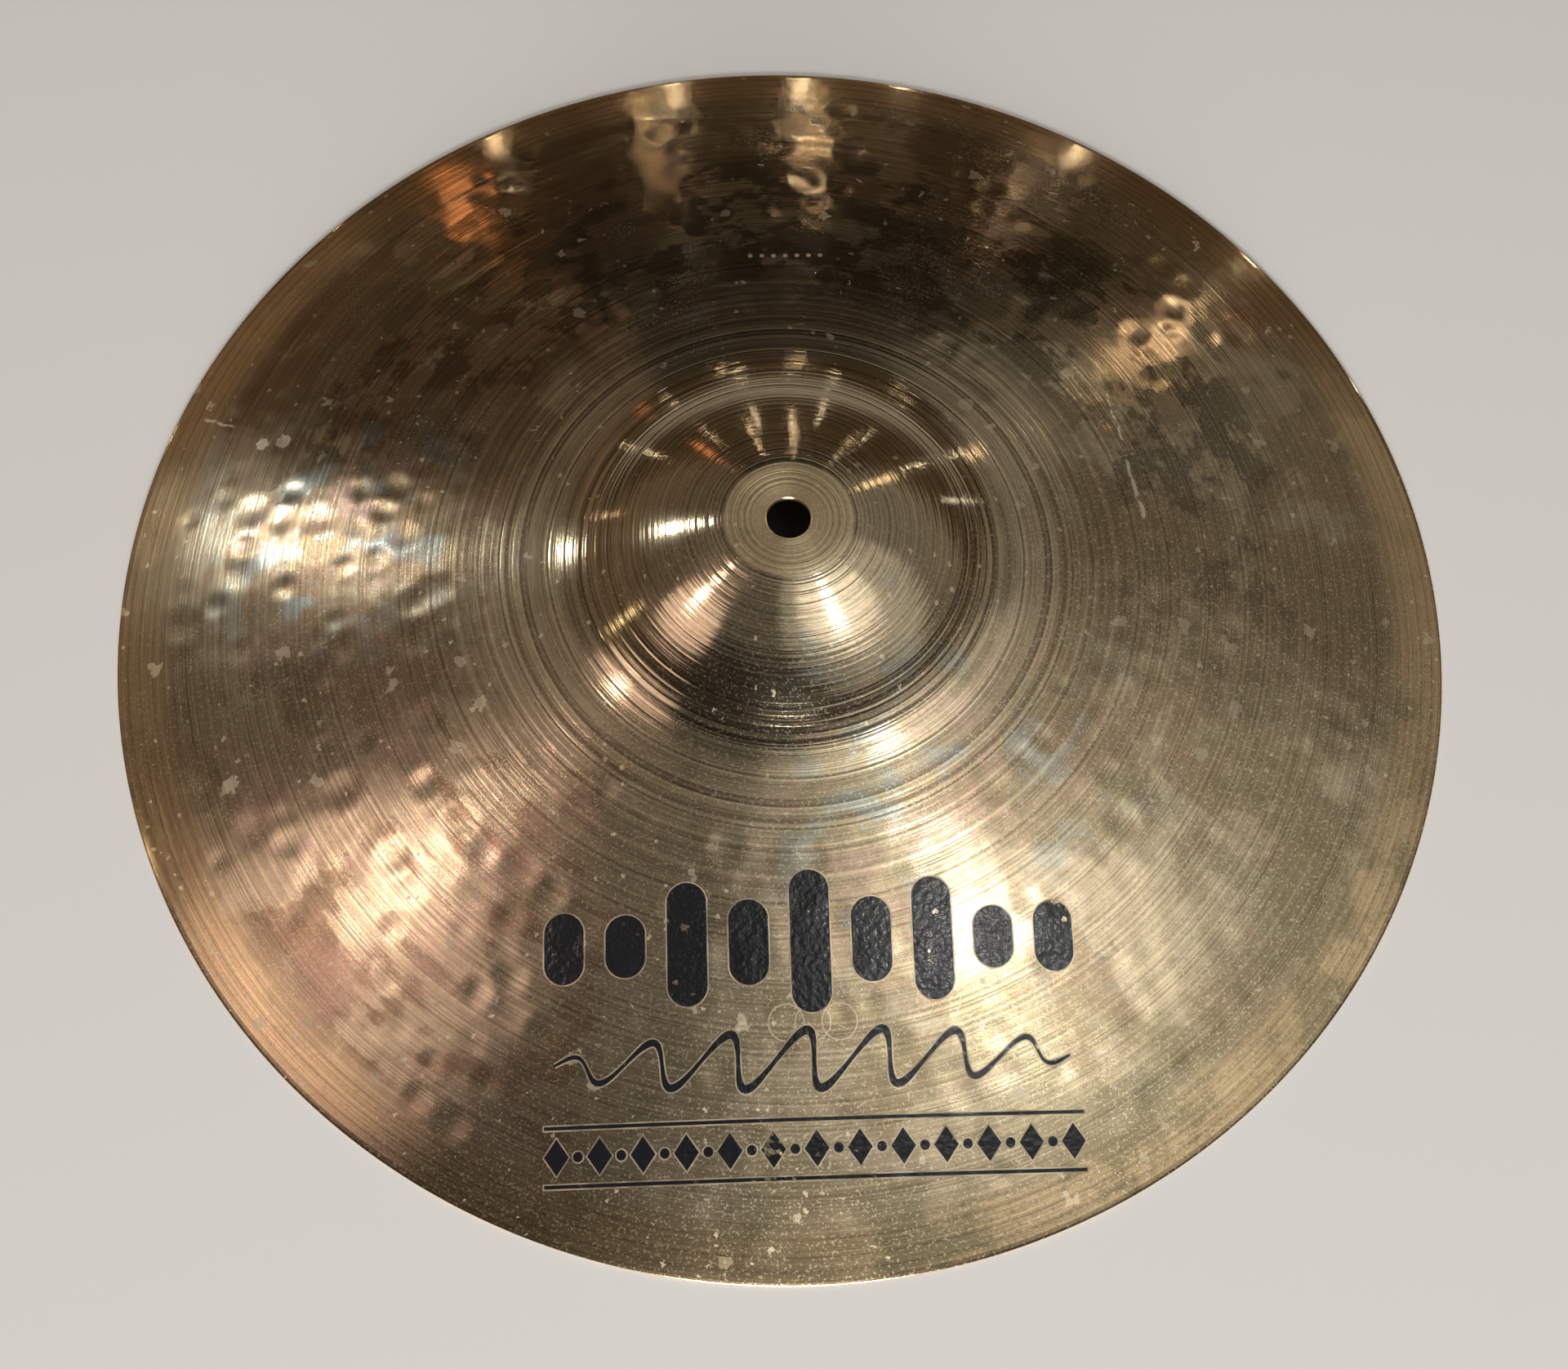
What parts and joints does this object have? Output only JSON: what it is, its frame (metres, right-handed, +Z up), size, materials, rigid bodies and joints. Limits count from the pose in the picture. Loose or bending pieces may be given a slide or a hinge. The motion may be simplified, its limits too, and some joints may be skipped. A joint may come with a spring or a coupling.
{
  "type": "crash cymbal",
  "caption": "Round, gently domed bronze crash cymbal with a raised bell, a central hole and an abstract black print on the bow.",
  "frame": {"origin": "in the plane that the cymbal's rim rests on, under the middle of the hole", "axes": "+Z up along the hole's axis, out of the bell's top; the print lies on the -Y side and is read from there, so +X is to its right"},
  "size_m": [0.4064, 0.4064, 0.0455],
  "materials": {
    "bronze": "lathed and hammered cast bronze, satin, tarnished",
    "ink": "black screen-printing ink, satin"
  },
  "bodies": {
    "root": {"cymbal": "bronze", "printed_bars": "ink", "printed_flourish": "ink", "printed_upper_rule": "ink", "printed_lower_rule": "ink", "printed_diamonds": "ink", "printed_dots": "ink"}
  },
  "joints": []
}
